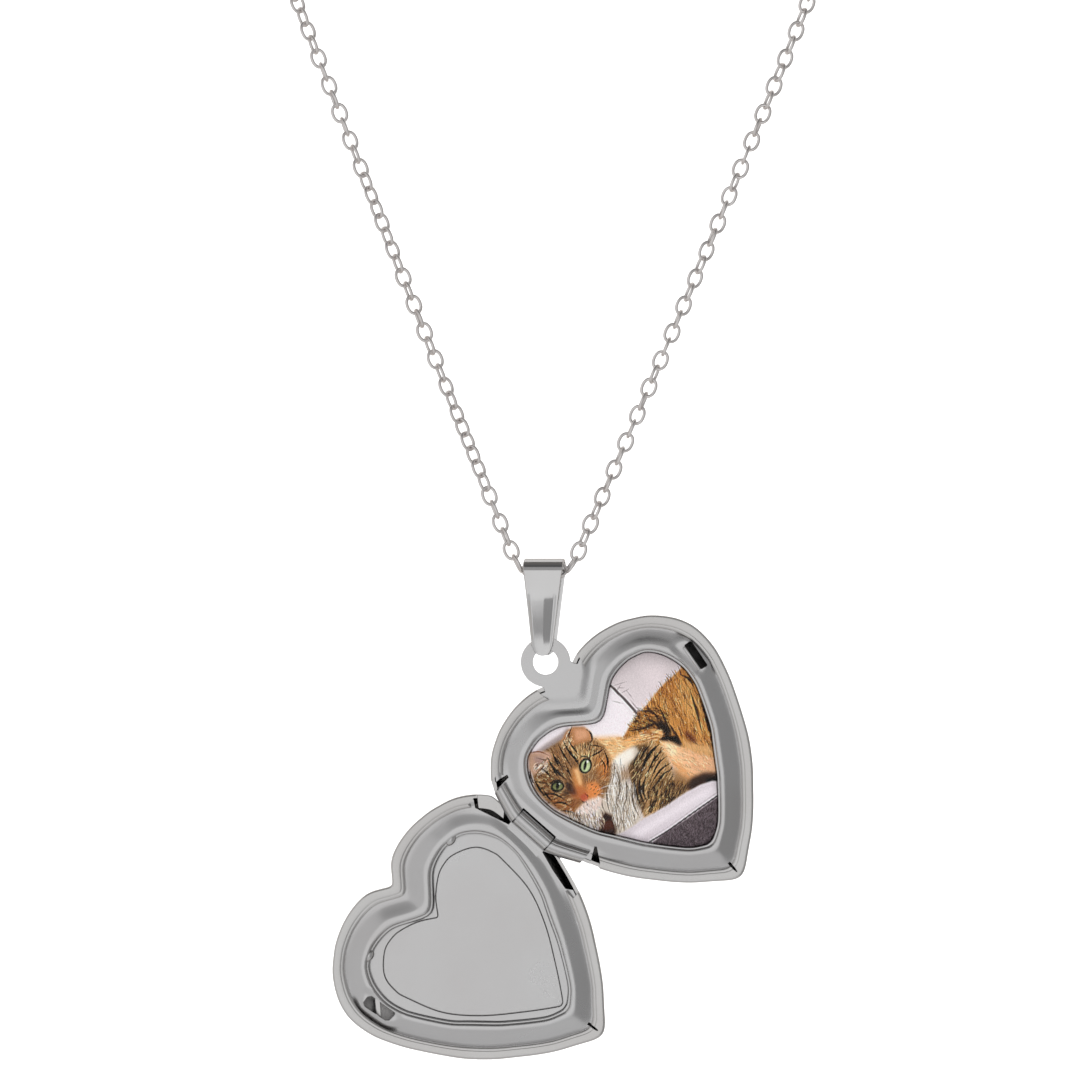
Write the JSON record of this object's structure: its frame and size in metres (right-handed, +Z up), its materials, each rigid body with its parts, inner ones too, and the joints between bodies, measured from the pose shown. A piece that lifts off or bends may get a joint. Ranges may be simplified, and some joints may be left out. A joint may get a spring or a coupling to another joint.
{
  "type": "heart locket necklace",
  "caption": "Hinged heart photo locket hung open flat from a folded strap bail on a fine oval-link cable chain, with a lobster clasp and an end ring.",
  "frame": {"origin": "above the locket, between the two ends of the chain, where the chain is held", "axes": "+Z up against gravity as the locket hangs, -Y is the side that shows the inside of both open halves, +X to the right seen from that side"},
  "size_m": [0.0552, 0.0044, 0.1085],
  "materials": {
    "steel_satin": "tumbled satin stainless steel, faint drawing marks",
    "steel_polished": "polished stainless steel",
    "chain_steel": "bright tumbled stainless wire",
    "photo_paper": "semi-gloss colour print of a tabby cat lying on a pale sofa",
    "clear_window": "clear acetate"
  },
  "bodies": {
    "chain": {"chain_centre_links": "chain_steel", "chain_left_strand": "chain_steel", "chain_right_strand": "chain_steel", "clasp_jump_ring": "chain_steel", "clasp_body": "steel_polished", "clasp_lever_pin": "steel_polished", "clasp_spring": "steel_satin", "end_ring": "chain_steel"},
    "clasp_thumb_lever": {"clasp_lever": "steel_polished"},
    "bail": {"bail": "steel_polished"},
    "back_half": {"back_cover": "steel_satin", "back_frame": "steel_satin", "back_photo_print": "photo_paper", "back_photo_window": "clear_window", "hinge_pin": "steel_polished"},
    "front_half": {"front_cover": "steel_satin", "front_frame": "steel_satin", "front_photo_window": "clear_window"}
  },
  "joints": [
    {"name": "bail_swing", "type": "hinge", "parent": "chain", "child": "bail", "pos_m": [0, 0, -0.06472], "axis": [1, 0, 0], "range_deg": [-80, 80]},
    {"name": "locket_swing", "type": "hinge", "parent": "bail", "child": "back_half", "pos_m": [0.00009, 0, -0.07222], "axis": [0, -1, 0], "range_deg": [-112, 28]},
    {"name": "lid_hinge", "type": "hinge", "parent": "back_half", "child": "front_half", "pos_m": [-0.00071, -0.00055, -0.08863], "axis": [-0.7478, 0, 0.6639], "range_deg": [0, 180]},
    {"name": "clasp_lever_press", "type": "hinge", "parent": "chain", "child": "clasp_thumb_lever", "pos_m": [-0.02389, 0, -0.0061], "axis": [0, -1, 0], "range_deg": [0, 20], "stiffness_Nm_per_rad": 0.0005}
  ]
}
